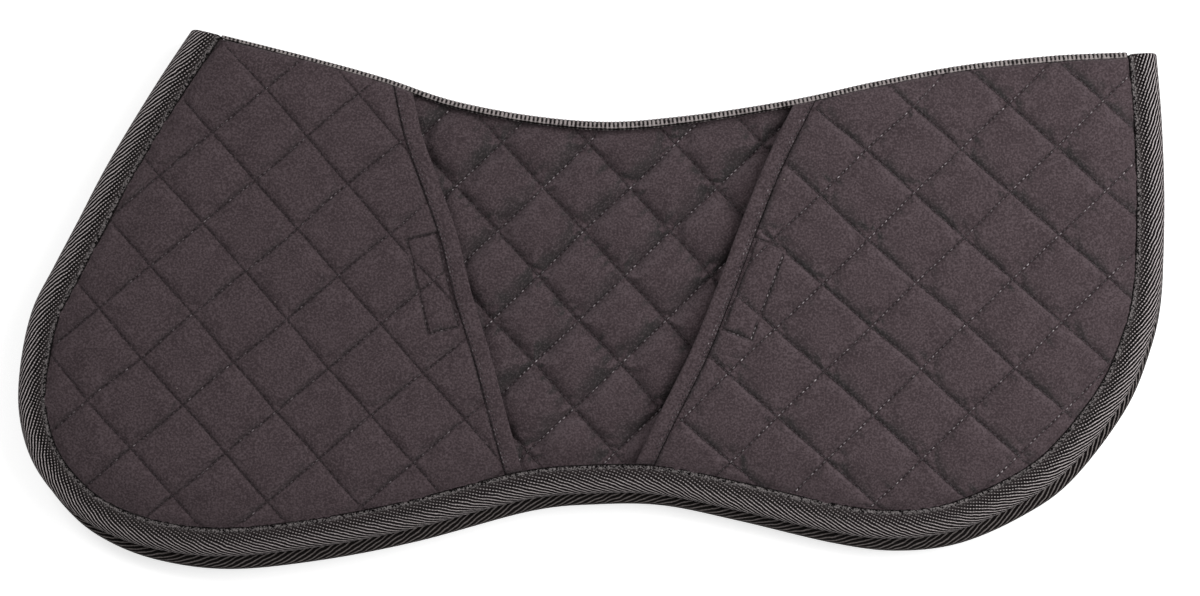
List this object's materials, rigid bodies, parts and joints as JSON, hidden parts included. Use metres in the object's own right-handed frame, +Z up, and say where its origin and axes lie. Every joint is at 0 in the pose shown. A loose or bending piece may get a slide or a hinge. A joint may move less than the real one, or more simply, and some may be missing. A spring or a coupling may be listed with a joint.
{
  "type": "half pad",
  "caption": "Quilted pad for under a saddle, folded flat along its spine, with shim pockets front and rear, bound edges and halves that open like a book.",
  "frame": {"origin": "middle of the pad's footprint, on the surface that the far half lies on", "axes": "+X to the rear of the pad, +Y to its spine, +Z up through the two halves"},
  "size_m": [0.6208, 0.2916, 0.0356],
  "materials": {
    "quilted_cloth": "diamond-quilted brushed cotton",
    "twill_tape": "diagonal twill webbing",
    "ribbed_tape": "ribbed woven tape",
    "lining": "plain cotton",
    "wadding": "loose polyester fibre",
    "shim_foam": "closed-cell foam",
    "hook_patch": "nylon hooks",
    "loop_patch": "nylon loops"
  },
  "bodies": {
    "far_half": {"far_lining": "lining", "far_wadding": "wadding", "far_base_panel": "quilted_cloth", "far_front_pocket": "quilted_cloth", "far_rear_pocket": "quilted_cloth", "far_front_hem": "quilted_cloth", "far_rear_hem": "quilted_cloth", "far_front_hook": "hook_patch", "far_front_loop": "loop_patch", "far_rear_hook": "hook_patch", "far_rear_loop": "loop_patch", "far_binding": "twill_tape"},
    "spine": {"spine_tape": "ribbed_tape"},
    "near_half": {"near_lining": "lining", "near_wadding": "wadding", "near_base_panel": "quilted_cloth", "near_front_pocket": "quilted_cloth", "near_rear_pocket": "quilted_cloth", "near_front_hem": "quilted_cloth", "near_rear_hem": "quilted_cloth", "near_front_hook": "hook_patch", "near_front_loop": "loop_patch", "near_rear_hook": "hook_patch", "near_rear_loop": "loop_patch", "near_binding": "twill_tape"},
    "near_front_shim": {"near_front_shim": "shim_foam"},
    "near_rear_shim": {"near_rear_shim": "shim_foam"},
    "far_front_shim": {"far_front_shim": "shim_foam"},
    "far_rear_shim": {"far_rear_shim": "shim_foam"}
  },
  "joints": [
    {"name": "spine_fold", "type": "hinge", "parent": "far_half", "child": "spine", "pos_m": [0.0439, 0.14736, 0.0178], "axis": [-0.9998, 0.0205, 0], "range_deg": [0, 45]},
    {"name": "near_fold", "type": "hinge", "parent": "spine", "child": "near_half", "pos_m": [0.0439, 0.14736, 0.0178], "axis": [-0.9998, 0.0205, 0], "range_deg": [0, 45]},
    {"name": "near_front_shim_slide", "type": "slide", "parent": "near_half", "child": "near_front_shim", "axis": [0.9637, 0.2671, 0], "range_m": [0, 0.06]},
    {"name": "near_rear_shim_slide", "type": "slide", "parent": "near_half", "child": "near_rear_shim", "axis": [-0.9113, 0.4118, 0], "range_m": [0, 0.06]},
    {"name": "far_front_shim_slide", "type": "slide", "parent": "far_half", "child": "far_front_shim", "axis": [0.9621, 0.2729, 0], "range_m": [0, 0.06]},
    {"name": "far_rear_shim_slide", "type": "slide", "parent": "far_half", "child": "far_rear_shim", "axis": [-0.9207, 0.3903, 0], "range_m": [0, 0.06]}
  ],
  "couplings": [
    {"joint": "near_fold", "follows": "spine_fold", "ratio": 1}
  ]
}
